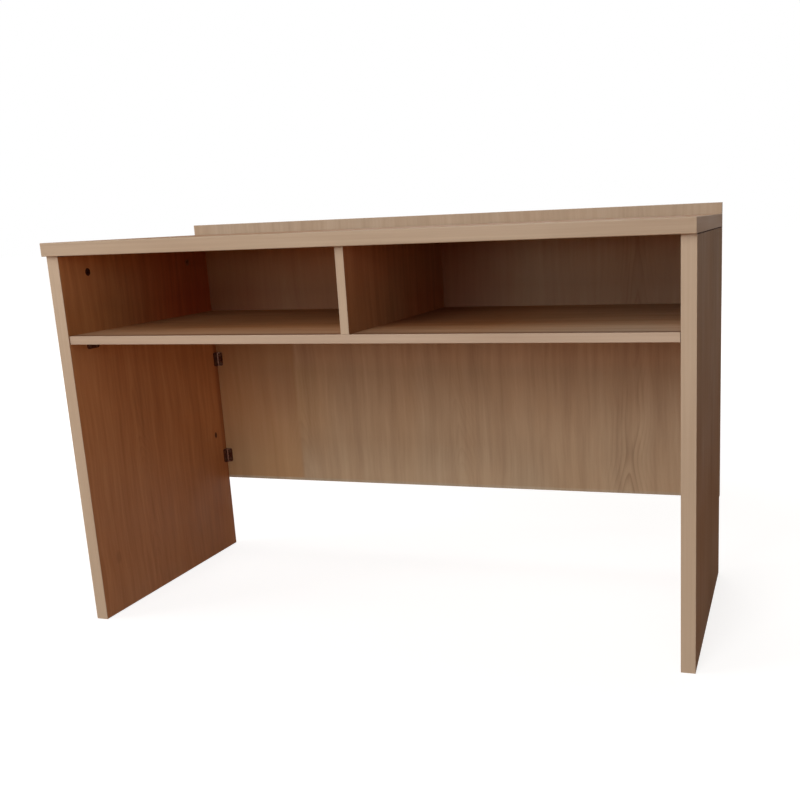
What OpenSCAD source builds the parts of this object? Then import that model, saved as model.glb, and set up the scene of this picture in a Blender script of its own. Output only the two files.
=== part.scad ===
// Office desk of laminated boards: a desktop on two side panels, a shelf and a divider
// that make two open compartments under it, and one tall back panel that hangs down as
// the modesty panel and rises a little above the desktop.
// Millimetres. X runs from left to right, Y from front to back and Z up.
// The origin is on the floor, under the middle of the desk.

/* [Desktop] */
// Width of the desk
desk_w = 1200; // [900:10:1600]
// Height of the writing surface above the floor
desk_h = 750; // [700:5:800]
// Depth of the desktop, from its front edge to the back panel
top_depth = 500; // [420:10:700]
// Thickness of the desktop
top_t = 25; // [22:1:36]
// How far the desktop stands out in front of the side panels
front_overhang = 12; // [0:1:40]

/* [Side panels] */
// Thickness of a side panel
side_t = 25; // [22:1:36]

/* [Compartments] */
// Clear height of a compartment, from the shelf up to the desktop
comp_h = 150; // [100:5:220]
// Thickness of the shelf
shelf_t = 16; // [16:1:25]
// Thickness of the divider
divider_t = 16; // [16:1:25]
// How far the shelf and the divider stand back from the side panels' front edges
shelf_setback = 2; // [0:1:20]
// How far the divider stands to the right of the middle
divider_shift = 0; // [-150:10:150]

/* [Back panel] */
// Thickness of the back panel
back_t = 16; // [16:1:25]
// Height of the back panel
back_h = 604; // [500:1:680]
// How far the back panel rises above the desktop
back_rise = 22; // [0:1:60]

/* [Edge bands] */
// Thickness of the desktop's edge bands
top_band_t = 2; // [1:0.5:3]
// Thickness of all the other edge bands
band_t = 1; // [0.6:0.1:2]
// Radius on the long outer edges of an edge band, as a share of the band's thickness
band_round_share = 0.85; // [0.3:0.05:0.85]

/* [Cam fittings] */
// Diameter of a cam lock
cam_d = 15; // [12:0.5:20]
// From the board's edge to the middle of the cam lock
cam_reach = 34; // [28:1:44]
// How far a cam lock reaches past its bolt's axis
cam_below = 4; // [3:0.5:6]
// How far a cam lock's face lies below the board's face
cam_sink = 0.4; // [0.2:0.1:1]
// From each end of a side panel's top edge to the middle of its cam lock
side_cam_end = 78; // [50:1:140]
// From the side of a compartment to the middle of the nearest cam lock that holds the back
back_cam_end = 95; // [60:1:150]
// Diameter of a cam bolt's shank
bolt_d = 6; // [5:0.5:7]
// Diameter of a cam bolt's round head
bolt_head_d = 6.6; // [6:0.1:7]
// Diameter of a cam bolt's neck behind its head
bolt_neck_d = 3.6; // [3:0.1:4.5]
// Diameter of a cam bolt's collar
bolt_collar_d = 7.6; // [7.2:0.1:9]
// Length of a cam bolt's thread
bolt_thread_len = 10; // [7:0.5:12]
// Diameter of an insert nut
nut_d = 10; // [9:0.5:12]
// Length of an insert nut
nut_len = 13; // [13:0.5:15]

/* [Dowels] */
// Diameter of a wooden dowel
dowel_d = 8; // [6:1:10]
// Length of a wooden dowel
dowel_len = 30; // [24:1:40]
// How deep a dowel goes into the face of a board
dowel_face_depth = 10; // [8:1:12]
// From a cam lock to the dowel beside it
dowel_pitch = 32; // [24:1:48]

/* [Corner brackets] */
// Length of a bracket along its corner
bracket_len = 32; // [30:1:50]
// Width of each of a bracket's two leaves
bracket_leaf = 15; // [14:1:24]
// Thickness of a bracket's leaf
bracket_wall = 2.5; // [2:0.1:3.5]
// Thickness of a bracket's end walls
bracket_end_wall = 1.8; // [1.2:0.1:3]
// Radius in a bracket's inner corner and on its leaves' outer corners
bracket_round = 3.5; // [1:0.5:4]
// From the shelf's underside down to the middle of an upper bracket on the back panel
upper_bracket_drop = 99; // [60:1:130]
// From the back panel's bottom edge up to the middle of a lower bracket
lower_bracket_rise = 57; // [30:1:90]
// From the side panel's front edge to the middle of a front shelf bracket
shelf_bracket_front = 64; // [40:1:120]
// From the back panel to the middle of a rear shelf bracket
shelf_bracket_rear = 64; // [50:1:120]
// From a side panel to the middle of a bracket between the shelf and the back panel
shelf_back_end = 288; // [150:1:320]

/* [Screws] */
// Outer diameter of a bracket screw
screw_d = 3.5; // [3:0.1:4]
// Length of a bracket screw
screw_len = 14; // [12:1:16]
// Head diameter of a bracket screw
screw_head_d = 6.6; // [6.2:0.1:7.4]
// Distance between the two screws of one leaf
screw_pitch = 18; // [14:1:22]
// Outer diameter of a divider screw
divider_screw_d = 4; // [3.5:0.1:5]
// Length of a divider screw
divider_screw_len = 40; // [30:1:60]
// Head diameter of a divider screw
divider_screw_head_d = 8; // [7:0.5:10]
// From the divider's end to its nearest screw and top dowel
divider_fix_end = 60; // [40:1:90]
// From a divider screw to the dowel beside it
divider_dowel_pitch = 40; // [24:1:60]

/* [Fits] */
// Clearance round every dowel, nut, cam lock and screw
fit_gap = 0.1; // [0.05:0.05:0.25]

/* [Hidden] */

$fn = 48;
cut = 1;
SIDES = [-1, 1];

// Places of the boards
desk_depth = top_depth + back_t;
top_front_y = -desk_depth / 2;
side_front_y = top_front_y + front_overhang;
back_front_y = top_front_y + top_depth;
side_depth = back_front_y - side_front_y;
top_under_z = desk_h - top_t;
inner_x = desk_w / 2 - side_t;
shelf_top_z = top_under_z - comp_h;
shelf_under_z = shelf_top_z - shelf_t;
shelf_front_y = side_front_y + shelf_setback;
shelf_depth = back_front_y - shelf_front_y;
back_top_z = desk_h + back_rise;
back_bottom_z = back_top_z - back_h;
divider_left_x = divider_shift - divider_t / 2;
divider_right_x = divider_shift + divider_t / 2;

// Parts of the fittings
bolt_bore_d = bolt_collar_d + 2 * fit_gap;
bolt_collar_h = 1.5;
bolt_head_h = 3;
bolt_head_edge = 0.8;
bolt_head_slope = 0.4;
bolt_taper = 1;
bolt_neck_len = cam_d / 2 - bolt_head_h / 2 + bolt_taper;
bolt_thread_d = bolt_d - 0.2;
cam_run = 0.3;
cam_wall = 1.2;
cam_cross_w = 1.2;
cam_cross_len = 6.4;
cam_cross_deep = 3;
nut_rib_count = 4;
nut_rib_deep = 0.5;
nut_rib_share = 0.8;
dowel_chamfer = 1;
screw_tip_len = 3;
screw_tip_r = 0.3;
screw_rim_h = 0.3;
screw_cross_w = 0.8;
screw_cross_share = 0.6;
screw_cross_deep = 1.4;

// One copy on the left as drawn, or its mirror image on the right
module on_side(side) {
    if (side < 0) children();
    else mirror([1, 0, 0]) children();
}

// Edge band: its inner face is centred on the origin, and it stands up along Z
module band_strip(length, width, t) {
    r = band_round_share * t;
    rotate([90, 0, 90])
        linear_extrude(height = length, center = true)
            intersection() {
                translate([-width / 2, 0]) square([width, t]);
                union() {
                    translate([-width / 2, 0]) square([width, t - r]);
                    translate([r - width / 2, 0]) square([width - 2 * r, t]);
                    for (s = SIDES) translate([s * (width / 2 - r), t - r]) circle(r);
                }
            }
}

// Cam fitting, drawn with its bolt along Z: the origin is the middle of the cam lock,
// the other board's face lies at z = cam_reach, and the cam lock shows on the +X side.
module cam_bore(half_t) {
    rotate([0, 90, 0])
        translate([0, 0, -cam_below])
            cylinder(d = cam_d + 2 * fit_gap, h = half_t + cam_below + cut);
}

module bolt_bore() {
    cylinder(d = bolt_bore_d, h = cam_reach + cut);
}

module nut_bore() {
    translate([0, 0, cam_reach - cut])
        cylinder(d = nut_d + 2 * fit_gap, h = nut_len + fit_gap + cut);
}

// Die-cast cam: a hollow drum with an entry for the bolt's head, a slot that lets the
// neck pass as the drum turns, a web that the head bears on, and a cross recess
module cam_lock(half_t) {
    face_x = half_t - cam_sink;
    slot_w = bolt_neck_d + 2 * cam_run;
    head_room = bolt_head_d + 2 * cam_run;
    core_r = cam_d / 2 - cam_wall;
    difference() {
        rotate([0, 90, 0])
            translate([0, 0, fit_gap - cam_below])
                cylinder(d = cam_d, h = face_x + cam_below - fit_gap);
        rotate([0, 90, 0])
            translate([0, 0, -head_room / 2])
                intersection() {
                    cylinder(r = core_r, h = head_room);
                    translate([-bolt_head_h / 2, -cam_d, 0]) cube([cam_d, 2 * cam_d, head_room]);
                }
        translate([-slot_w / 2, -slot_w / 2, 0]) cube([slot_w, cam_d, cam_d]);
        translate([-slot_w / 2, 0, -cam_d]) cube([slot_w, cam_d, 2 * cam_d]);
        translate([0, 0, -cam_d]) cylinder(d = head_room, h = cam_d);
        for (turn = [45, 135])
            translate([face_x, 0, 0]) rotate([turn, 0, 0])
                cube([2 * cam_cross_deep, cam_cross_w, cam_cross_len], center = true);
    }
}

module cam_bolt() {
    rotate_extrude()
        polygon([
            [0, -bolt_head_h / 2],
            [bolt_head_d / 2 - bolt_head_edge, -bolt_head_h / 2],
            [bolt_head_d / 2, -bolt_head_h / 2 + bolt_head_edge],
            [bolt_head_d / 2, bolt_head_h / 2 - bolt_head_slope],
            [bolt_neck_d / 2, bolt_head_h / 2],
            [bolt_neck_d / 2, bolt_head_h / 2 + bolt_neck_len],
            [bolt_d / 2, bolt_head_h / 2 + bolt_neck_len + bolt_taper],
            [bolt_d / 2, cam_reach - bolt_collar_h],
            [bolt_collar_d / 2, cam_reach - bolt_collar_h],
            [bolt_collar_d / 2, cam_reach],
            [bolt_thread_d / 2, cam_reach],
            [bolt_thread_d / 2, cam_reach + bolt_thread_len - bolt_taper],
            [bolt_thread_d / 2 - bolt_taper, cam_reach + bolt_thread_len],
            [0, cam_reach + bolt_thread_len]
        ]);
}

// Nylon insert with ribs round it, which spreads as the bolt goes in
module insert_nut() {
    rib_pitch = nut_len / nut_rib_count;
    translate([0, 0, cam_reach])
        difference() {
            union() {
                cylinder(d = nut_d - 2 * nut_rib_deep, h = nut_len);
                for (i = [0 : nut_rib_count - 1])
                    translate([0, 0, i * rib_pitch])
                        cylinder(d1 = nut_d, d2 = nut_d - 2 * nut_rib_deep, h = rib_pitch * nut_rib_share);
            }
            translate([0, 0, -cut])
                cylinder(d = bolt_thread_d + 2 * fit_gap, h = bolt_thread_len + 2 * fit_gap + cut);
        }
}

// Dowel along Z across a joint at z = 0: its upper end is in the face of a board
module dowel() {
    low = dowel_face_depth - dowel_len;
    rotate_extrude()
        polygon([
            [0, low],
            [dowel_d / 2 - dowel_chamfer, low],
            [dowel_d / 2, low + dowel_chamfer],
            [dowel_d / 2, dowel_face_depth - dowel_chamfer],
            [dowel_d / 2 - dowel_chamfer, dowel_face_depth],
            [0, dowel_face_depth]
        ]);
}

module dowel_bore() {
    translate([0, 0, dowel_face_depth - dowel_len - fit_gap])
        cylinder(d = dowel_d + 2 * fit_gap, h = dowel_len + 2 * fit_gap);
}

// Countersunk screw: the top of its head is at z = 0 and it points along +Z
module screw(d, len, head_d, grow = 0) {
    head_h = (head_d - d) / 2 + screw_rim_h;
    difference() {
        rotate_extrude()
            polygon([
                [0, 0],
                [head_d / 2 + grow, 0],
                [head_d / 2 + grow, screw_rim_h],
                [d / 2 + grow, head_h],
                [d / 2 + grow, len - screw_tip_len + grow],
                [screw_tip_r + grow, len + grow],
                [0, len + grow]
            ]);
        if (grow == 0)
            for (turn = [0, 90])
                rotate([0, 0, turn])
                    cube([screw_cross_w, head_d * screw_cross_share, 2 * screw_cross_deep], center = true);
    }
}

// Room for a screw, open at the head's side
module screw_bore(d, len, head_d) {
    screw(d, len, head_d, fit_gap);
    translate([0, 0, -cut]) cylinder(d = head_d + 2 * fit_gap, h = cut + fit_gap);
}

// Corner bracket: its corner runs along Z through the origin, one leaf lies on the plane
// x = 0 and the other on the plane y = 0. The end walls brace the leaves.
module corner_bracket() {
    tip = bracket_leaf;
    r = bracket_round;
    brace = tip - bracket_wall;
    difference() {
        union() {
            linear_extrude(height = bracket_len, center = true)
                union() {
                    square([bracket_wall, tip]);
                    square([tip, bracket_wall]);
                    difference() {
                        square(bracket_wall + r);
                        translate([bracket_wall + r, bracket_wall + r]) circle(r);
                    }
                }
            for (s = SIDES)
                translate([0, 0, s * (bracket_len - bracket_end_wall) / 2])
                    linear_extrude(height = bracket_end_wall, center = true)
                        difference() {
                            square(tip);
                            translate([tip, tip]) circle(brace);
                        }
        }
        for (s = SIDES) {
            translate([0, tip - r, s * (bracket_len / 2 - r)]) leaf_corner_cut(s);
            mirror([1, -1, 0]) translate([0, tip - r, s * (bracket_len / 2 - r)]) leaf_corner_cut(s);
        }
        bracket_screw_bores();
    }
}

// Takes the square corner off a leaf that lies on the plane x = 0
module leaf_corner_cut(s) {
    r = bracket_round;
    difference() {
        translate([-cut, 0, s < 0 ? -r - cut : 0]) cube([bracket_leaf + cut, r + cut, r + cut]);
        translate([-2 * cut, 0, 0]) rotate([0, 90, 0]) cylinder(r = r, h = bracket_leaf + 4 * cut);
    }
}

// The four screws of one bracket, each with its head flush in the flat part of a leaf
module bracket_screw_places() {
    middle = (bracket_leaf + bracket_wall + bracket_round) / 2;
    for (s = SIDES) {
        translate([bracket_wall, middle, s * screw_pitch / 2]) rotate([0, -90, 0]) children();
        translate([middle, bracket_wall, s * screw_pitch / 2]) rotate([90, 0, 0]) children();
    }
}

module bracket_screws() {
    bracket_screw_places() screw(screw_d, screw_len, screw_head_d);
}

module bracket_screw_bores() {
    bracket_screw_places() screw_bore(screw_d, screw_len, screw_head_d);
}

// Places along a side panel's top edge, each so far in from the front or the back
module side_top_places(sides, inset, z) {
    for (side = sides, y = [side_front_y + inset, back_front_y - inset])
        translate([side * (desk_w - side_t) / 2, y, z]) rotate([0, 0, side < 0 ? 0 : 180]) children();
}

module side_cam_places(sides = SIDES) {
    side_top_places(sides, side_cam_end, top_under_z - cam_reach) children();
}

module side_dowel_places(sides = SIDES) {
    side_top_places(sides, side_cam_end + dowel_pitch, top_under_z) children();
}

// Places along the desktop's back edge, each so far in from the sides of a compartment
module back_edge_places(inset, y) {
    for (x = [-inner_x + inset, divider_left_x - inset, divider_right_x + inset, inner_x - inset])
        translate([x, y, desk_h - top_t / 2]) rotate([-90, 90, 0]) children();
}

module back_cam_places() {
    back_edge_places(back_cam_end, back_front_y - cam_reach) children();
}

module back_dowel_places() {
    back_edge_places(back_cam_end + dowel_pitch, back_front_y) children();
}

// Places of the divider's dowels and screws
module divider_top_dowel_places() {
    for (y = [shelf_front_y + divider_fix_end, back_front_y - divider_fix_end])
        translate([divider_shift, y, top_under_z]) children();
}

module divider_bottom_dowel_places() {
    inset = divider_fix_end + divider_dowel_pitch;
    for (y = [shelf_front_y + inset, back_front_y - inset])
        translate([divider_shift, y, shelf_top_z]) mirror([0, 0, 1]) children();
}

module divider_screw_places() {
    for (y = [shelf_front_y + divider_fix_end, back_front_y - divider_fix_end])
        translate([divider_shift, y, shelf_under_z]) children();
}

// Places of the corner brackets
module side_back_places(sides = SIDES) {
    heights = [shelf_under_z - upper_bracket_drop, back_bottom_z + lower_bracket_rise];
    for (side = sides, z = heights)
        on_side(side) translate([-inner_x, back_front_y, z]) mirror([0, 1, 0]) children();
}

module shelf_side_places(sides = SIDES) {
    for (side = sides, y = [side_front_y + shelf_bracket_front, back_front_y - shelf_bracket_rear])
        on_side(side) translate([-inner_x, y, shelf_under_z]) rotate([-90, 0, 0]) children();
}

module shelf_back_places() {
    for (side = SIDES)
        on_side(side)
            translate([shelf_back_end - inner_x, back_front_y, shelf_under_z])
                rotate([-90, 0, -90]) children();
}

module desktop_board() {
    color("burlywood")
        difference() {
            translate([top_band_t - desk_w / 2, top_front_y + top_band_t, top_under_z])
                cube([desk_w - 2 * top_band_t, top_depth - top_band_t, top_t]);
            side_cam_places() nut_bore();
            side_dowel_places() dowel_bore();
            back_cam_places() cam_bore(top_t / 2);
            back_cam_places() bolt_bore();
            back_dowel_places() dowel_bore();
            divider_top_dowel_places() dowel_bore();
        }
}

module desktop_front_band() {
    color("tan")
        translate([0, top_front_y + top_band_t, top_under_z + top_t / 2])
            rotate([90, 0, 0]) band_strip(desk_w, top_t, top_band_t);
}

module desktop_end_band(side) {
    length = top_depth - top_band_t;
    color("tan")
        translate([side * (desk_w / 2 - top_band_t), back_front_y - length / 2, top_under_z + top_t / 2])
            rotate([90, 0, side * 90]) band_strip(length, top_t, top_band_t);
}

// One side panel's board, between its front, back and bottom bands
module side_board(side) {
    color("burlywood")
        difference() {
            on_side(side)
                translate([-desk_w / 2, side_front_y + band_t, band_t])
                    cube([side_t, side_depth - 2 * band_t, top_under_z - band_t]);
            side_cam_places([side]) cam_bore(side_t / 2);
            side_cam_places([side]) bolt_bore();
            side_dowel_places([side]) dowel_bore();
            side_back_places([side]) bracket_screw_bores();
            shelf_side_places([side]) bracket_screw_bores();
        }
}

module side_edge_band(side, front) {
    y = front ? side_front_y + band_t : back_front_y - band_t;
    color("tan")
        translate([side * (desk_w - side_t) / 2, y, top_under_z / 2])
            rotate([front ? 90 : -90, 90, 0]) band_strip(top_under_z, side_t, band_t);
}

module side_bottom_band(side) {
    color("tan")
        translate([side * (desk_w - side_t) / 2, (side_front_y + back_front_y) / 2, band_t])
            rotate([180, 0, 90]) band_strip(side_depth - 2 * band_t, side_t, band_t);
}

module shelf_board() {
    color("burlywood")
        difference() {
            translate([-inner_x, shelf_front_y + band_t, shelf_under_z])
                cube([2 * inner_x, shelf_depth - band_t, shelf_t]);
            shelf_side_places() bracket_screw_bores();
            shelf_back_places() bracket_screw_bores();
            divider_bottom_dowel_places() dowel_bore();
            divider_screw_places() screw_bore(divider_screw_d, divider_screw_len, divider_screw_head_d);
        }
}

module shelf_front_band() {
    color("tan")
        translate([0, shelf_front_y + band_t, shelf_under_z + shelf_t / 2])
            rotate([90, 0, 0]) band_strip(2 * inner_x, shelf_t, band_t);
}

module divider_board() {
    color("burlywood")
        difference() {
            translate([divider_left_x, shelf_front_y + band_t, shelf_top_z])
                cube([divider_t, shelf_depth - band_t, comp_h]);
            divider_top_dowel_places() dowel_bore();
            divider_bottom_dowel_places() dowel_bore();
            divider_screw_places() screw_bore(divider_screw_d, divider_screw_len, divider_screw_head_d);
        }
}

module divider_front_band() {
    color("tan")
        translate([divider_shift, shelf_front_y + band_t, shelf_top_z + comp_h / 2])
            rotate([90, 90, 0]) band_strip(comp_h, divider_t, band_t);
}

module back_board() {
    color("burlywood")
        difference() {
            translate([band_t - desk_w / 2, back_front_y, back_bottom_z + band_t])
                cube([desk_w - 2 * band_t, back_t, back_h - 2 * band_t]);
            back_cam_places() nut_bore();
            back_dowel_places() dowel_bore();
            side_back_places() bracket_screw_bores();
            shelf_back_places() bracket_screw_bores();
        }
}

module back_level_band(top) {
    z = top ? back_top_z - band_t : back_bottom_z + band_t;
    color("tan")
        translate([0, back_front_y + back_t / 2, z])
            rotate([top ? 0 : 180, 0, 0]) band_strip(desk_w - 2 * band_t, back_t, band_t);
}

module back_upright_band(side) {
    color("tan")
        translate([side * (desk_w / 2 - band_t), back_front_y + back_t / 2, back_bottom_z + back_h / 2])
            rotate([0, side * 90, 0]) band_strip(back_h, back_t, band_t);
}

module side_cam_locks() {
    color("silver") side_cam_places() cam_lock(side_t / 2);
}

module side_cam_bolts() {
    color("gainsboro") side_cam_places() cam_bolt();
}

module side_insert_nuts() {
    color("white") side_cam_places() insert_nut();
}

module side_dowels() {
    color("wheat") side_dowel_places() dowel();
}

module back_cam_locks() {
    color("silver") back_cam_places() cam_lock(top_t / 2);
}

module back_cam_bolts() {
    color("gainsboro") back_cam_places() cam_bolt();
}

module back_insert_nuts() {
    color("white") back_cam_places() insert_nut();
}

module back_dowels() {
    color("wheat") back_dowel_places() dowel();
}

module side_back_brackets() {
    color("saddlebrown") side_back_places() corner_bracket();
}

module side_back_screws() {
    color("silver") side_back_places() bracket_screws();
}

module shelf_side_brackets() {
    color("saddlebrown") shelf_side_places() corner_bracket();
}

module shelf_side_screws() {
    color("silver") shelf_side_places() bracket_screws();
}

module shelf_back_brackets() {
    color("saddlebrown") shelf_back_places() corner_bracket();
}

module shelf_back_screws() {
    color("silver") shelf_back_places() bracket_screws();
}

module divider_dowels() {
    color("wheat") {
        divider_top_dowel_places() dowel();
        divider_bottom_dowel_places() dowel();
    }
}

module divider_screws() {
    color("silver")
        divider_screw_places() screw(divider_screw_d, divider_screw_len, divider_screw_head_d);
}

desktop_board();
desktop_front_band();
desktop_end_band(-1);  // desktop_left_band
desktop_end_band(1);  // desktop_right_band
side_board(-1);  // left_side_board
side_edge_band(-1, true);  // left_side_front_band
side_edge_band(-1, false);  // left_side_back_band
side_bottom_band(-1);  // left_side_bottom_band
side_board(1);  // right_side_board
side_edge_band(1, true);  // right_side_front_band
side_edge_band(1, false);  // right_side_back_band
side_bottom_band(1);  // right_side_bottom_band
shelf_board();
shelf_front_band();
divider_board();
divider_front_band();
back_board();
back_level_band(true);  // back_top_band
back_level_band(false);  // back_bottom_band
back_upright_band(-1);  // back_left_band
back_upright_band(1);  // back_right_band
side_cam_locks();
side_cam_bolts();
side_insert_nuts();
side_dowels();
back_cam_locks();
back_cam_bolts();
back_insert_nuts();
back_dowels();
side_back_brackets();
side_back_screws();
shelf_side_brackets();
shelf_side_screws();
shelf_back_brackets();
shelf_back_screws();
divider_dowels();
divider_screws();
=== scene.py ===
"""Finishes, floor, light and camera for an office desk of beech-look laminated boards."""

import math

import bpy
from mathutils import Matrix, Vector

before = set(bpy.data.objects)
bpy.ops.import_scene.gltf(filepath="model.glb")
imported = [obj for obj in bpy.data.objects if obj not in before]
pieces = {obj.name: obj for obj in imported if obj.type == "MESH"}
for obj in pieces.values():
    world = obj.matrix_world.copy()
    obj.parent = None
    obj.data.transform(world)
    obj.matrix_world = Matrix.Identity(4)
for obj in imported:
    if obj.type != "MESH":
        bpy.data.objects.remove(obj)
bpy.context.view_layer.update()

X, Y, Z = 0, 1, 2
MIX_FIRST, MIX_SECOND, MIX_RESULT = 6, 7, 2   # the colour sockets of a Mix node
SHARP = 0.0001   # width of a zone's edge, in metres, where it follows a real edge or joint


# Building blocks of the finishes

def colour(red, green, blue):
    """A screen colour, 0 to 255, as the linear colour that a shader takes."""
    def linear(level):
        share = level / 255
        return share / 12.92 if share <= 0.04045 else ((share + 0.055) / 1.055) ** 2.4
    return (linear(red), linear(green), linear(blue), 1.0)


def node(tree, kind, inputs=None, **settings):
    """One shader node. An input is a number, a colour or another node's output."""
    made = tree.nodes.new("ShaderNode" + kind)
    for name, value in settings.items():
        setattr(made, name, value)
    for name, value in (inputs or {}).items():
        if isinstance(value, bpy.types.NodeSocket):
            tree.links.new(value, made.inputs[name])
        else:
            made.inputs[name].default_value = value
    return made


def maths(tree, operation, first, second=0.0, third=0.0):
    """The result of one sum. Its terms are numbers or other nodes' outputs."""
    made = node(tree, "Math", {0: first, 1: second, 2: third}, operation=operation)
    return made.outputs[0]


def ranged(tree, value, low, high, to_low, to_high):
    """A value's place between low and high, as a number from to_low to to_high."""
    made = node(tree, "MapRange", {
        "Value": value, "From Min": low, "From Max": high, "To Min": to_low, "To Max": to_high})
    return made.outputs[0]


def graded(tree, value, stops):
    """A colour ramp with its stops given as (place, colour)."""
    ramp = node(tree, "ValToRGB", {"Fac": value})
    ramp.color_ramp.elements[0].position = stops[0][0]
    ramp.color_ramp.elements[0].color = stops[0][1]
    ramp.color_ramp.elements[1].position = stops[-1][0]
    ramp.color_ramp.elements[1].color = stops[-1][1]
    for spot, tint in stops[1:-1]:
        ramp.color_ramp.elements.new(spot).color = tint
    return ramp.outputs["Color"]


def blended(tree, share, first, second, way="MIX"):
    """A share of the second colour mixed into the first, or multiplied into it."""
    made = node(tree, "Mix", {"Factor": share, MIX_FIRST: first, MIX_SECOND: second},
                data_type="RGBA", blend_type=way)
    return made.outputs[MIX_RESULT]


def finish(name, roughness, metallic=0.0, gloss=0.5):
    """An empty finish with its shader joined to the output."""
    material = bpy.data.materials.new(name)
    material.use_nodes = True
    tree = material.node_tree
    tree.nodes.clear()
    shader = node(tree, "BsdfPrincipled", {
        "Roughness": roughness, "Metallic": metallic, "Specular IOR Level": gloss})
    node(tree, "OutputMaterial", {"Surface": shader.outputs["BSDF"]})
    return material, tree, shader


def place_on_desk(tree):
    """The place on the desk, in metres, as three outputs."""
    place = node(tree, "SeparateXYZ", {"Vector": node(tree, "TexCoord").outputs["Object"]})
    return place.outputs


def place_on_board(tree, across, along):
    """The distances across and along the grain and into the board, as three outputs."""
    place = place_on_desk(tree)
    into = X + Y + Z - across - along
    return place[across], place[along], place[into]


def stretched_noise(tree, place, across, along, detail=3.0, rough=0.5, shift=0.0):
    """Noise that is drawn out along the grain. across and along are in cycles per metre."""
    vector = node(tree, "CombineXYZ", {
        "X": maths(tree, "MULTIPLY_ADD", place[0], across, shift),
        "Y": maths(tree, "MULTIPLY", place[1], along),
        "Z": maths(tree, "MULTIPLY", place[2], across * 0.5)})
    made = node(tree, "TexNoise", {
        "Vector": vector.outputs[0], "Scale": 1.0, "Detail": detail, "Roughness": rough})
    return made.outputs["Fac"]


def bumped(tree, shader, height, strength, depth):
    """A bump of the shader's surface, with its depth in metres."""
    made = node(tree, "Bump", {"Height": height, "Strength": strength, "Distance": depth})
    tree.links.new(made.outputs["Normal"], shader.inputs["Normal"])


def soft_gloss(tree, shader, level, slanted):
    """Gloss that fades where the face is seen at a slant, as on a satin laminate."""
    slant = node(tree, "LayerWeight", {"Blend": 0.5})
    tree.links.new(ranged(tree, slant.outputs["Facing"], 0.35, 0.85, level, slanted),
                   shader.inputs["Specular IOR Level"])


def above(axis, edge, fade=SHARP):
    """The limit of a zone that starts at an edge on an axis and is full a fade beyond it."""
    return (axis, edge, edge + fade)


def below(axis, edge, fade=SHARP):
    """The limit of a zone that is full up to a fade before an edge on an axis and ends there."""
    return (axis, edge, edge - fade)


def within(tree, place, limits):
    """1 where a place on the desk is inside all the limits of a zone, and 0 outside them."""
    inside = 1.0
    for axis, edge, full in limits:
        inside = maths(tree, "MULTIPLY", inside, ranged(tree, place[axis], edge, full, 0.0, 1.0))
    return inside


# The laminate's figure

LEAF = 0.20          # half the width of one printed leaf of veneer figure
RING = 0.0080        # spacing of the growth rings
PITH = 0.011         # depth of the cut in front of the log's heart
TAPER = 0.100        # how fast the rings close in along the log
SWERVE = 0.10        # how far the leaves' middles wander to the side
KNOT_CELLS = (8.0, 4.0)    # places for a pin knot per metre across and along the grain
KNOTLESS = 0.96      # share of those places that have no knot
BASE_TONE = 0.26     # tone of the print before its layers, about which the stripes swing
TONE_SPOTS = (0.26, 0.52, 0.86)    # where the pale, the middle and the deep tone lie
BLUSH = (1.0, 0.95, 0.90, 1.0)     # tint of the broad reddish patches
KNOT = colour(66, 38, 24)


def flame_figure(tree, place, wander, stripes, heart, shift):
    """Dark edges of the growth rings, which close into flame tips along each leaf's middle.
    heart is the place of a leaf's middle. Whole leaves are added to a place across the board,
    so that it is never below zero."""
    drift = stretched_noise(tree, place, across=3.0, along=5.0, detail=1.0, shift=shift + 11.0)
    side = maths(tree, "MULTIPLY_ADD", wander, SWERVE, place[0])
    side = maths(tree, "ADD", side, 20 * LEAF - heart - SWERVE / 2)
    side = maths(tree, "PINGPONG", side, LEAF)
    reach = maths(tree, "POWER", side, 2.0)
    reach = maths(tree, "SQRT", maths(tree, "ADD", reach, PITH ** 2))
    for layer, weight in ((place[1], TAPER), (wander, 0.05), (drift, 0.05), (stripes, 0.004)):
        reach = maths(tree, "MULTIPLY_ADD", layer, weight, reach)
    rings = maths(tree, "FRACT", maths(tree, "DIVIDE", maths(tree, "ADD", reach, 1.0), RING))
    late = maths(tree, "POWER", ranged(tree, rings, 0.15, 1.0, 0.0, 1.0), 2.0)
    late = maths(tree, "MULTIPLY", late, ranged(tree, rings, 0.85, 1.0, 1.0, 0.0))
    late = maths(tree, "MULTIPLY", late, ranged(tree, drift, 0.40, 0.62, 0.25, 1.0))
    near = maths(tree, "POWER", ranged(tree, side, 0.004, 0.060, 1.0, 0.20), 2.0)
    return maths(tree, "MULTIPLY", late, near)


def veneer_strips(tree, place, wander, shift):
    """A number from 0 to 1 for each narrow strip of the print, with a sharp step between them."""
    side = maths(tree, "MULTIPLY_ADD", place[0], 24.0, shift)
    side = maths(tree, "MULTIPLY_ADD", wander, 0.9, side)
    strip = node(tree, "TexWhiteNoise", {"W": maths(tree, "FLOOR", side)}, noise_dimensions="1D")
    return strip.outputs["Value"]


def pin_knots(tree, place, shift):
    """A few small dark pin knots, each drawn out a little along the grain."""
    spot = node(tree, "CombineXYZ", {
        "X": maths(tree, "MULTIPLY_ADD", place[0], KNOT_CELLS[0], shift),
        "Y": maths(tree, "MULTIPLY", place[1], KNOT_CELLS[1])})
    cells = node(tree, "TexVoronoi", {"Vector": spot.outputs[0], "Scale": 1.0},
                 voronoi_dimensions="2D")
    chance = node(tree, "SeparateXYZ", {"Vector": cells.outputs["Color"]})
    few = maths(tree, "GREATER_THAN", chance.outputs[0], KNOTLESS)
    dark = ranged(tree, cells.outputs["Distance"], 0.012, 0.034, 1.0, 0.0)
    return maths(tree, "MULTIPLY", few, dark)


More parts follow.
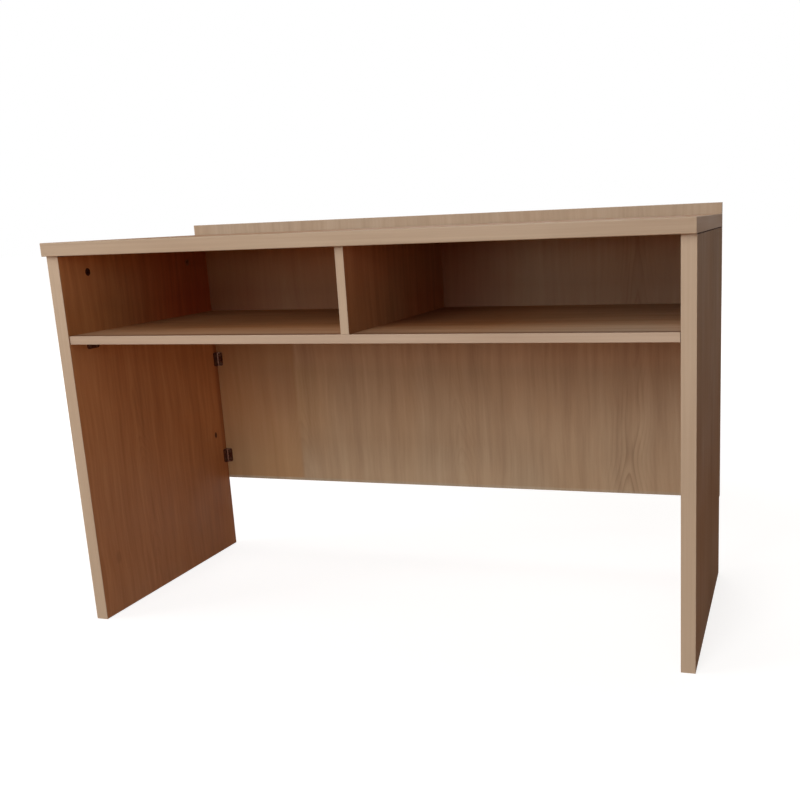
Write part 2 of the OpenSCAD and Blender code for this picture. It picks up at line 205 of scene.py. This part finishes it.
def knot_at(tree, place, across, along, size, depth):
    """How dark one mark of its own is, at a given place on the board's inner face."""
    aside = maths(tree, "POWER", maths(tree, "SUBTRACT", place[0], across), 2.0)
    length = maths(tree, "MULTIPLY", maths(tree, "SUBTRACT", place[1], along), 0.6)
    away = maths(tree, "SQRT", maths(tree, "MULTIPLY_ADD", length, length, aside))
    facing_in = maths(tree, "LESS_THAN", maths(tree, "ABSOLUTE", place[2]), IN_SIDE)
    return maths(tree, "MULTIPLY", facing_in, ranged(tree, away, size * 0.5, size, depth, 0.0))


def laminate(name, across, along, tones, zones=(), shift=0.0, flame=1.0, heart=0.0, strong=None,
             pins=True, knots=(), shades=(), figure=0.58):
    """Beech-look laminate: broad bands, flame figure, streaks, flecks and a few pin knots.

    zones lists (limits, tones) of the places with tones of their own, most of them painted
    light and shade, and shades lists (limits, shade) of the places with painted shade, where
    shade is a share of red, green and blue.
    flame is the strength of the flames, and strong the pair of places across the board
    between which they grow from faint to clear. figure is the strength of the stripes.
    knots lists (across, along, size, depth) of the single dark marks."""
    material, tree, shader = finish(name, 0.58, gloss=0.25)
    place = place_on_board(tree, across, along)
    wander = stretched_noise(tree, place, across=5.0, along=1.4, detail=2.0, shift=shift)
    sway = stretched_noise(tree, place, across=4.0, along=3.6, detail=2.0, shift=shift + 8.0)
    bent = (maths(tree, "MULTIPLY_ADD", sway, 0.030, place[0]), place[1], place[2])
    bands = stretched_noise(tree, bent, across=32.0, along=1.6, detail=2.0, shift=shift + 4.0)
    stripes = stretched_noise(tree, bent, across=80.0, along=4.6, rough=0.6, shift=shift + 2.0)
    streaks = stretched_noise(tree, bent, across=260.0, along=8.0, detail=4.0, rough=0.6,
                              shift=shift)
    flecks = stretched_noise(tree, place, across=950.0, along=70.0, detail=2.0, shift=shift)
    blush = stretched_noise(tree, place, across=9.0, along=1.8, detail=2.0, shift=shift + 6.0)
    smudge = stretched_noise(tree, place, across=6.0, along=6.0, rough=0.6, shift=shift + 9.0)
    flames = flame_figure(tree, place, wander, stripes, heart, shift)
    if strong:
        flames = maths(tree, "MULTIPLY", flames, ranged(tree, place[0], *strong, 0.4, 1.5))
    strips = veneer_strips(tree, place, wander, shift)

    tone = BASE_TONE - figure / 2
    for layer, weight in ((bands, 0.32), (strips, 0.05), (stripes, figure), (streaks, 0.14),
                          (flames, 0.34 * flame)):
        tone = maths(tree, "MULTIPLY_ADD", layer, weight, tone)
    tone = maths(tree, "ADD", tone, ranged(tree, flecks, 0.62, 0.72, 0.0, 0.08))
    if pins:
        tone = maths(tree, "ADD", tone, pin_knots(tree, place, shift))

    tint = graded(tree, tone, list(zip(TONE_SPOTS, tones)))
    on_desk = place_on_desk(tree)
    for limits, own_tones in zones:
        own_tint = graded(tree, tone, list(zip(TONE_SPOTS, own_tones)))
        tint = blended(tree, within(tree, on_desk, limits), tint, own_tint)
    for limits, shade in shades:
        tint = blended(tree, within(tree, on_desk, limits), tint, (*shade, 1.0), "MULTIPLY")
    for knot in knots:
        tint = blended(tree, knot_at(tree, place, *knot), tint, KNOT)
    tint = blended(tree, ranged(tree, blush, 0.3, 0.7, 0.0, 1.0), tint, BLUSH, "MULTIPLY")

    tree.links.new(tint, shader.inputs["Base Color"])
    tree.links.new(ranged(tree, smudge, 0.3, 0.7, 0.52, 0.64), shader.inputs["Roughness"])
    bumped(tree, shader, maths(tree, "MULTIPLY_ADD", flecks, -0.6, streaks), 0.12, 0.0002)
    soft_gloss(tree, shader, 0.30, 0.003)
    return material


# Edge bands and fittings

def edge_band(name, along, pale, deep, joint=None):
    """Thick edge band with faint lines along its length and a soft sheen. joint is how far
    from the middle a dark joint line starts."""
    material, tree, shader = finish(name, 0.42, gloss=0.22)
    across = Z if along != Z else X
    place = place_on_board(tree, across, along)
    lines = stretched_noise(tree, place, across=260.0, along=3.0, detail=4.0, rough=0.6)
    clouds = stretched_noise(tree, place, across=14.0, along=2.2, detail=2.0, shift=2.0)
    tone = maths(tree, "MULTIPLY_ADD", clouds, 0.6, maths(tree, "MULTIPLY", lines, 0.4))
    tint = graded(tree, tone, [(0.32, pale), (0.70, deep)])
    if joint is not None:
        ended = maths(tree, "GREATER_THAN", maths(tree, "ABSOLUTE", place[1]), joint)
        tint = blended(tree, ended, tint, JOINT[0])
    tree.links.new(tint, shader.inputs["Base Color"])
    tree.links.new(ranged(tree, clouds, 0.3, 0.7, 0.36, 0.50), shader.inputs["Roughness"])
    bumped(tree, shader, lines, 0.06, 0.0001)
    soft_gloss(tree, shader, 0.22, 0.004)
    return material


def speckled(name, pale, deep, roughness, metallic=0.0, grain=900.0, strength=0.1, gloss=0.5,
             sheen_tint=(1.0, 1.0, 1.0, 1.0), unshaded=None):
    """Moulded plastic, plated steel or die-cast zinc: a fine mottle with a little bump.
    unshaded is the tint of the pieces in the back half of the desk, where it differs; the pale and
    deep tints then hold painted shade on the pieces in the front half."""
    material, tree, shader = finish(name, roughness, metallic, gloss)
    shader.inputs["Specular Tint"].default_value = sheen_tint
    place = node(tree, "TexCoord").outputs["Object"]
    mottle = node(tree, "TexNoise", {
        "Vector": place, "Scale": grain, "Detail": 3.0, "Roughness": 0.6}).outputs["Fac"]
    stain = node(tree, "TexNoise", {
        "Vector": place, "Scale": grain * 0.09, "Detail": 2.0, "Roughness": 0.5}).outputs["Fac"]
    tone = maths(tree, "MULTIPLY_ADD", stain, 0.6, maths(tree, "MULTIPLY", mottle, 0.4))
    tint = graded(tree, tone, [(0.35, pale), (0.65, deep)])
    if unshaded:
        unshaded_tint = graded(tree, tone, [(0.35, unshaded[0]), (0.65, unshaded[1])])
        in_back_half = maths(tree, "GREATER_THAN", place_on_desk(tree)[Y], 0.0)
        tint = blended(tree, in_back_half, tint, unshaded_tint)
    tree.links.new(tint, shader.inputs["Base Color"])
    tree.links.new(ranged(tree, stain, 0.3, 0.7, roughness - 0.07, roughness + 0.07),
                   shader.inputs["Roughness"])
    bumped(tree, shader, mottle, strength, 0.0001)
    return material


# Places on the desk, in metres

IN_SIDE = 0.59          # inside the side panels, between their inner and outer faces
IN_BACK = 0.25          # inside the back panel, between its front and rear faces
IN_TOP = 0.74           # inside the desktop, between its underside and upper face
IN_SHELF = 0.567        # inside the shelf, between its underside and upper face
JOINT_LEVEL = 0.7234    # the dark line of the joint under the desktop starts here
SHELF_END = 0.5738      # the dark line of the joint at each end of the shelf starts here
LEFT_END_EDGE = -0.367      # the painted shade at the back panel's left end stops here
PALE_EDGE = 0.176       # the pale line along the back panel's bottom edge stops here
DARK_EDGE = -0.215      # the darker strip of the shelf behind its front band stops here

INNER_FACE = [above(X, -IN_SIDE), below(X, IN_SIDE)]
FRONT_FACE = [below(Y, IN_BACK)]
UNDER_SHELF = [below(Z, IN_SHELF)]
NEAR_SHELF = [above(Z, 0.43, 0.03)]
LEFT_END = FRONT_FACE + UNDER_SHELF + [below(X, LEFT_END_EDGE, 0.010)]
COMPARTMENTS = [above(Z, IN_SHELF), below(Z, IN_TOP)]
HIGH_UP = [above(Z, 0.62, 0.09)]
UNDER_TOP = COMPARTMENTS + HIGH_UP
LEFT_COMPARTMENT = COMPARTMENTS + [below(X, 0.0)]
RIGHT_COMPARTMENT = COMPARTMENTS + [above(X, 0.0)]
SHELF_RIGHT_END = [above(X, 0.22, 0.28)]


# Tones of the laminate: pale, middle and deep

OUTSIDE = (colour(182, 154, 128), colour(170, 139, 113), colour(149, 117, 91))
# Painted shade: the right side panel, darker than OUTSIDE all over
RIGHT_SHADED = (colour(168, 138, 111), colour(156, 124, 97), colour(136, 103, 77))
# Painted sheen: greyer on the right side panel's upper part
RIGHT_PAINTED_SHEEN = (colour(184, 168, 154), colour(170, 153, 139), colour(148, 131, 117))
UPSTAND = (colour(182, 162, 142), colour(170, 149, 127), colour(150, 128, 106))
JOINT = (colour(70, 48, 34), colour(62, 42, 30), colour(54, 36, 25))

# Painted light and shade on the side panels' inner faces: SIDE redder and darker than OUTSIDE,
# lighter high up and at the rear below the shelf, darker and redder low down and at the foot,
# darker in the rear corner, redder in the compartments and lighter under the desktop
SIDE = (colour(201, 150, 107), colour(185, 132, 90), colour(158, 107, 68))
SIDE_HIGH = (colour(210, 157, 111), colour(195, 139, 94), colour(168, 114, 72))
SIDE_REAR = (colour(217, 164, 117), colour(202, 146, 99), colour(174, 120, 76))
SIDE_LOW = (colour(188, 136, 93), colour(172, 119, 77), colour(146, 96, 57))
SIDE_FOOT = (colour(178, 121, 71), colour(162, 104, 55), colour(136, 81, 38))
SIDE_CORNER = (colour(182, 128, 86), colour(166, 110, 70), colour(142, 90, 53))
SIDE_COMPARTMENT = (colour(202, 126, 86), colour(186, 110, 71), colour(159, 87, 52))
SIDE_UNDER_TOP = (colour(226, 166, 114), colour(209, 147, 96), colour(180, 119, 73))

# Painted shade on the divider: darker and redder than OUTSIDE, with painted light making it paler
# under the desktop
DIVIDER = (colour(180, 133, 95), colour(164, 116, 79), colour(140, 94, 61))
DIVIDER_UNDER_TOP = (colour(196, 140, 102), colour(179, 122, 85), colour(153, 99, 66))

# Painted light and shade on the shelf: SHELF redder and darker than OUTSIDE, paler towards the
# front edge, and greyer at the right end as a painted reflection of cooler light
SHELF = (colour(193, 146, 103), colour(179, 130, 88), colour(157, 106, 67))
SHELF_FRONT = (colour(196, 162, 131), colour(182, 147, 117), colour(160, 123, 94))
SHELF_RIGHT = (colour(197, 167, 134), colour(183, 150, 116), colour(161, 124, 91))
SHELF_RIGHT_FRONT = (colour(198, 180, 158), colour(184, 164, 142), colour(162, 139, 116))

# Painted light and shade on the back panel's front face: BACK for the knee space, lighter painted
# light low down, warmer painted shade at the upper left, lighter warm light just under the shelf,
# painted shade over the left end (lighter near the shelf and low down, redder by the left panel),
# and in the compartments lighter painted light under the desktop
BACK = (colour(183, 153, 121), colour(169, 138, 106), colour(145, 112, 83))
BACK_LOW = (colour(187, 165, 137), colour(174, 151, 123), colour(150, 125, 100))
BACK_LOW_LEFT = (colour(197, 174, 145), colour(184, 160, 131), colour(160, 134, 108))
BACK_LOW_RIGHT = (colour(198, 177, 148), colour(185, 162, 133), colour(160, 136, 109))
BACK_WARM = (colour(185, 152, 115), colour(171, 138, 101), colour(147, 112, 80))
BACK_HIGH = (colour(194, 160, 127), colour(179, 145, 112), colour(154, 118, 89))
BACK_EDGE = (colour(196, 180, 156), colour(184, 167, 143), colour(162, 143, 120))
LEFT_END_SHADE = (colour(169, 131, 96), colour(162, 124, 89), colour(151, 113, 79))
LEFT_END_HIGH = (colour(178, 140, 102), colour(171, 132, 93), colour(160, 121, 83))
LEFT_END_LOW = (colour(184, 150, 112), colour(177, 143, 105), colour(165, 131, 94))
LEFT_END_CORNER = (colour(182, 138, 96), colour(176, 130, 88), colour(165, 120, 78))
BACK_RIGHT = (colour(194, 148, 108), colour(184, 136, 97), colour(170, 122, 84))
BACK_RIGHT_HIGH = (colour(232, 193, 155), colour(220, 178, 139), colour(203, 159, 121))
BACK_LEFT = (colour(193, 135, 91), colour(183, 124, 82), colour(169, 110, 71))
BACK_LEFT_HIGH = (colour(230, 164, 110), colour(218, 151, 99), colour(201, 133, 86))

DUSK = (0.78, 0.78, 0.78)       # shade at the left end of each compartment's back
REDDER = (0.97, 0.64, 0.54)     # shade towards the compartments' rear corners


# The desk's finishes

# Below its upper face the desktop takes the shelf's tones, which are painted shade.
desktop_top = laminate("desktop_laminate", Y, X, OUTSIDE, shift=0.3, zones=[
    ([below(Z, IN_TOP)], SHELF)])

# The shelf: painted light at the front and at the right end, painted shade beside the divider, and
# a darker strip just behind the front band.
shelf_top = laminate("shelf_laminate", Y, X, SHELF, shift=1.7, flame=0.7, zones=[
    ([below(Y, -0.10, 0.14)], SHELF_FRONT),
    (SHELF_RIGHT_END, SHELF_RIGHT),
    (SHELF_RIGHT_END + [below(Y, -0.06, 0.16)], SHELF_RIGHT_FRONT),
], shades=[
    ([above(X, 0.0), below(X, 0.28, 0.26), above(Y, -0.17, 0.16)], (0.60, 0.48, 0.48)),
    ([below(Y, DARK_EDGE, 0.02)], (0.50, 0.42, 0.40))])

# Painted light and shade on the side panels' inner faces, then the dark joint line under the
# desktop
SIDE_ZONES = [
    (INNER_FACE, SIDE),
    (INNER_FACE + UNDER_SHELF + [above(Z, 0.22, 0.25)], SIDE_HIGH),
    (INNER_FACE + UNDER_SHELF + [above(Z, 0.20, 0.15), above(Y, 0.0, 0.20)], SIDE_REAR),
    (INNER_FACE + [below(Z, 0.28, 0.18), above(Y, -0.04, 0.22)], SIDE_LOW),
    (INNER_FACE + [below(Z, 0.24, 0.14), above(Y, -0.15, 0.35)], SIDE_FOOT),
    (INNER_FACE + COMPARTMENTS + [above(Y, -0.05, 0.20)], SIDE_COMPARTMENT),
    (INNER_FACE + UNDER_TOP, SIDE_UNDER_TOP),
    (INNER_FACE + UNDER_SHELF + [above(Y, 0.224, 0.008)], SIDE_CORNER),
    ([above(Z, JOINT_LEVEL)], JOINT)]
# Painted shade in the compartments: redder towards the rear and redder low down
SIDE_PAINTED_SHADES = [
    (INNER_FACE + COMPARTMENTS + [above(Y, -0.10, 0.18)], REDDER),
    (INNER_FACE + COMPARTMENTS + [below(Z, 0.67, 0.06)], (1.0, 0.94, 0.80))]
side_left = laminate(
    "left_side_laminate", Y, Z, OUTSIDE, SIDE_ZONES, shift=2.9, flame=0.5, heart=-0.07,
    pins=False, knots=[(0.203, 0.282, 0.0055, 1.0), (-0.189, 0.113, 0.010, 0.16)],
    shades=SIDE_PAINTED_SHADES, figure=0.72)
# The right side panel carries painted shade all over and a painted sheen higher up.
side_right = laminate(
    "right_side_laminate", Y, Z, RIGHT_SHADED, [([above(Z, 0.25, 0.45)], RIGHT_PAINTED_SHEEN)] + SIDE_ZONES,
    shift=5.2, flame=0.8, heart=0.04, shades=SIDE_PAINTED_SHADES)

# The divider: painted shade, paler painted light under the desktop, and painted shade redder at the
# low rear.
divider_face = laminate("divider_laminate", Y, Z, DIVIDER, shift=7.4, flame=0.6, zones=[
    (UNDER_TOP, DIVIDER_UNDER_TOP),
], shades=[
    ([below(Z, 0.69, 0.08), above(Y, -0.05, 0.14)], REDDER)])

# The back panel: all zones but UPSTAND and BACK_EDGE, and all shades, are painted light and shade.
back_face = laminate("back_laminate", X, Z, OUTSIDE, shift=0.07, heart=0.032, pins=False,
                     strong=(0.05, 0.25), zones=[
    (FRONT_FACE + [above(Z, IN_TOP)], UPSTAND),
    (FRONT_FACE + UNDER_SHELF, BACK),
    (FRONT_FACE + [below(Z, 0.42, 0.24)], BACK_LOW),
    (FRONT_FACE + [below(X, 0.16, 0.06), below(Z, 0.27, 0.08)], BACK_LOW_LEFT),
    (FRONT_FACE + [above(X, 0.18, 0.24), below(Z, 0.46, 0.24)], BACK_LOW_RIGHT),
    (FRONT_FACE + UNDER_SHELF + [above(Z, 0.20, 0.12), below(X, -0.27, 0.10)], BACK_WARM),
    (FRONT_FACE + UNDER_SHELF + NEAR_SHELF, BACK_HIGH),
    (LEFT_END, LEFT_END_SHADE),
    (LEFT_END + NEAR_SHELF, LEFT_END_HIGH),
    (LEFT_END + [below(Z, 0.36, 0.14)], LEFT_END_LOW),
    (LEFT_END + [above(Z, 0.22, 0.14), below(X, -0.42, 0.12)], LEFT_END_CORNER),
    (FRONT_FACE + [below(Z, PALE_EDGE, 0.003)], BACK_EDGE),
    (FRONT_FACE + COMPARTMENTS, BACK_RIGHT),
    (FRONT_FACE + UNDER_TOP + [above(X, 0.02, 0.20)], BACK_RIGHT_HIGH),
    (FRONT_FACE + LEFT_COMPARTMENT, BACK_LEFT),
    (FRONT_FACE + LEFT_COMPARTMENT + HIGH_UP, BACK_LEFT_HIGH),
], shades=[
    # Painted shade in the compartments: darker low down and towards the left of each, and redder at
    # the left of each low down
    (FRONT_FACE + [above(Z, IN_SHELF), below(Z, 0.72, 0.14)], (0.60, 0.60, 0.60)),
    (FRONT_FACE + COMPARTMENTS + [below(X, -0.30, 0.15)], DUSK),
    (FRONT_FACE + COMPARTMENTS + [below(X, -0.38, 0.10), below(Z, 0.69, 0.08)], (0.98, 0.77, 0.64)),
    (FRONT_FACE + RIGHT_COMPARTMENT + [below(X, 0.20, 0.16)], REDDER),
    (FRONT_FACE + RIGHT_COMPARTMENT + [below(X, 0.50, 0.30)], DUSK)])

band_long = edge_band("band_across", X, colour(183, 162, 139), colour(167, 144, 121))
band_shelf = edge_band("band_shelf", X, colour(188, 166, 145), colour(172, 148, 127), SHELF_END)
band_deep = edge_band("band_front_to_back", Y, colour(187, 165, 142), colour(171, 147, 124))
band_tall = edge_band("band_upright", Z, colour(190, 169, 146), colour(174, 151, 128))

bracket_brown = speckled(
    "bracket_plastic", colour(62, 24, 13), colour(46, 16, 8), roughness=0.30, strength=0.15,
    gloss=1.0, sheen_tint=(1.0, 0.52, 0.35, 1.0))
# Painted shade and a painted dark reflection give the front cams their dark brown; the cams in the
# back half take the unshaded tint.
cam_zinc = speckled(
    "cam_zinc", colour(124, 92, 74), colour(84, 58, 45), roughness=0.36, metallic=1.0,
    unshaded=(colour(204, 152, 114), colour(174, 124, 88)))
bolt_plate = speckled(
    "bolt_plating", colour(186, 186, 190), colour(160, 160, 164), roughness=0.30, metallic=1.0)
screw_plate = speckled(
    "screw_plating", colour(138, 108, 88), colour(106, 80, 64), roughness=0.38, metallic=1.0)
nut_nylon = speckled(
    "nut_nylon", colour(226, 222, 208), colour(208, 202, 186), roughness=0.5)
dowel_wood = speckled(
    "dowel_beech", colour(206, 172, 130), colour(184, 148, 108), roughness=0.7, grain=300.0)

FINISH_OF = {
    "desktop_board": desktop_top,
    "desktop_front_band": band_long,
    "desktop_left_band": band_deep,
    "desktop_right_band": band_deep,
    "left_side_board": side_left,
    "right_side_board": side_right,
    "left_side_front_band": band_tall,
    "left_side_back_band": band_tall,
    "left_side_bottom_band": band_deep,
    "right_side_front_band": band_tall,
    "right_side_back_band": band_tall,
    "right_side_bottom_band": band_deep,
    "shelf_board": shelf_top,
    "shelf_front_band": band_shelf,
    "divider_board": divider_face,
    "divider_front_band": band_tall,
    "back_board": back_face,
    "back_top_band": band_long,
    "back_bottom_band": band_long,
    "back_left_band": band_tall,
    "back_right_band": band_tall,
    "side_cam_locks": cam_zinc,
    "back_cam_locks": cam_zinc,
    "side_cam_bolts": bolt_plate,
    "back_cam_bolts": bolt_plate,
    "side_insert_nuts": nut_nylon,
    "back_insert_nuts": nut_nylon,
    "side_dowels": dowel_wood,
    "back_dowels": dowel_wood,
    "divider_dowels": dowel_wood,
    "side_back_brackets": bracket_brown,
    "shelf_side_brackets": bracket_brown,
    "shelf_back_brackets": bracket_brown,
    "side_back_screws": screw_plate,
    "shelf_side_screws": screw_plate,
    "shelf_back_screws": screw_plate,
    "divider_screws": screw_plate,
}
for name, material in FINISH_OF.items():
    pieces[name].data.materials.clear()
    pieces[name].data.materials.append(material)


# Floor, background and light

WHITE = (1.0, 1.0, 1.0, 1.0)
FLOOR_WIDTH = 60.0
FLOOR_LEVEL = -0.0005       # just under the desk, so that no two faces share a plane
FLOOR_WARM = (0.42, 0.23, 0.12, 1.0)    # the floor as it lights the desk
FLOOR_GREY = (0.42, 0.42, 0.42, 1.0)    # the floor as it is seen, where the shadow shows
GLOW = (0.80, 1.0)          # the seen floor's glow near the desk and far from it
GLOW_GROWS = (1.0, 2.8)     # the distances from the desk's middle for those two
SKY_WARM = (1.0, 0.74, 0.52, 1.0)       # the room's light on the desk
SKY_LIGHT = 0.16
DAYLIGHT = (0.94, 0.98, 1.0)


def seen_directly(tree):
    """1 for rays that the camera, a glossy surface or a clear one sends out, otherwise 0."""
    path = node(tree, "LightPath")
    seen = maths(tree, "MAXIMUM", path.outputs["Is Camera Ray"], path.outputs["Is Glossy Ray"])
    return maths(tree, "MAXIMUM", seen, path.outputs["Is Transmission Ray"])


def one_or_other(tree, lighting, seen):
    """The seen shader where it is seen directly, and the lighting one for all other rays."""
    both = node(tree, "MixShader", {"Fac": seen_directly(tree), 1: lighting, 2: seen})
    return both.outputs[0]


def pale_floor():
    """White where it is seen, with the desk's soft shadow left on it."""
    material = bpy.data.materials.new("studio_floor")
    material.use_nodes = True
    tree = material.node_tree
    tree.nodes.clear()
    plain = node(tree, "BsdfDiffuse", {"Color": FLOOR_WARM})
    shadowed = node(tree, "BsdfDiffuse", {"Color": FLOOR_GREY})
    place = node(tree, "TexCoord").outputs["Object"]
    away = node(tree, "VectorMath", {0: place}, operation="LENGTH")
    glow = node(tree, "Emission", {
        "Color": WHITE, "Strength": ranged(tree, away.outputs["Value"], *GLOW_GROWS, *GLOW)})
    seen = node(tree, "AddShader", {0: shadowed.outputs[0], 1: glow.outputs[0]})
    node(tree, "OutputMaterial", {
        "Surface": one_or_other(tree, plain.outputs[0], seen.outputs[0])})
    return material


bpy.ops.mesh.primitive_plane_add(size=FLOOR_WIDTH)
floor = bpy.context.object
floor.name = "studio_floor"
floor.location.z = FLOOR_LEVEL
floor.data.materials.append(pale_floor())

sky = bpy.data.worlds.new("studio")
sky.use_nodes = True
bpy.context.scene.world = sky
tree = sky.node_tree
tree.nodes.clear()
dim = node(tree, "Background", {"Color": SKY_WARM, "Strength": SKY_LIGHT})
white = node(tree, "Background", {"Color": WHITE, "Strength": 1.0})
node(tree, "OutputWorld", {"Surface": one_or_other(tree, dim.outputs[0], white.outputs[0])})


def softbox(name, place, aim, width, height, power, tint=(1.0, 1.0, 1.0)):
    """A large soft lamp of a given power, in watts, turned towards aim."""
    light = bpy.data.lights.new(name, "AREA")
    light.color = tint
    light.shape = "RECTANGLE"
    light.size = width
    light.size_y = height
    light.energy = power
    lamp = bpy.data.objects.new(name, light)
    bpy.context.scene.collection.objects.link(lamp)
    lamp.location = place
    lamp.rotation_euler = (Vector(aim) - Vector(place)).to_track_quat("-Z", "Y").to_euler()


softbox("key_softbox", (-1.0, -6.9, 2.4), (0.0, 0.0, 0.4), 3.4, 3.0, 181.0, DAYLIGHT)
softbox("fill_softbox", (3.3, -6.2, 2.0), (0.0, 0.0, 0.4), 3.0, 2.4, 52.0, DAYLIGHT)
softbox("upper_softbox", (0.3, -3.6, 4.0), (0.0, -0.2, 0.6), 2.0, 2.0, 46.0)
softbox("top_softbox", (0.0, 0.9, 4.2), (0.0, 0.3, 0.7), 2.0, 2.0, 24.0)
softbox("back_softbox", (-1.6, 6.3, 2.8), (0.0, 0.2, 0.4), 3.4, 3.0, 110.0)
softbox("left_softbox", (-5.2, -2.4, 2.4), (0.0, 0.0, 0.4), 3.0, 3.0, 140.0)


# Camera, with its turns in radians

CAMERA_PLACE = (0.7501, -1.7899, 0.7620)
HEADING = 0.3027
PITCH = -0.2258
ROLL = 0.0428

lens = bpy.data.cameras.new("photo_camera")
lens.sensor_width = 36.0
lens.lens = 44.17
lens.shift_x = -0.1214
lens.shift_y = 0.0533
lens.clip_start = 0.05
camera = bpy.data.objects.new("photo_camera", lens)
bpy.context.scene.collection.objects.link(camera)
camera.matrix_world = (
    Matrix.Translation(CAMERA_PLACE)
    @ Matrix.Rotation(HEADING, 4, "Z")
    @ Matrix.Rotation(PITCH, 4, "X")
    @ Matrix.Rotation(ROLL, 4, "Y")
    @ Matrix.Rotation(math.pi / 2, 4, "X"))
bpy.context.scene.camera = camera
bpy.context.scene.view_settings.view_transform = "Standard"
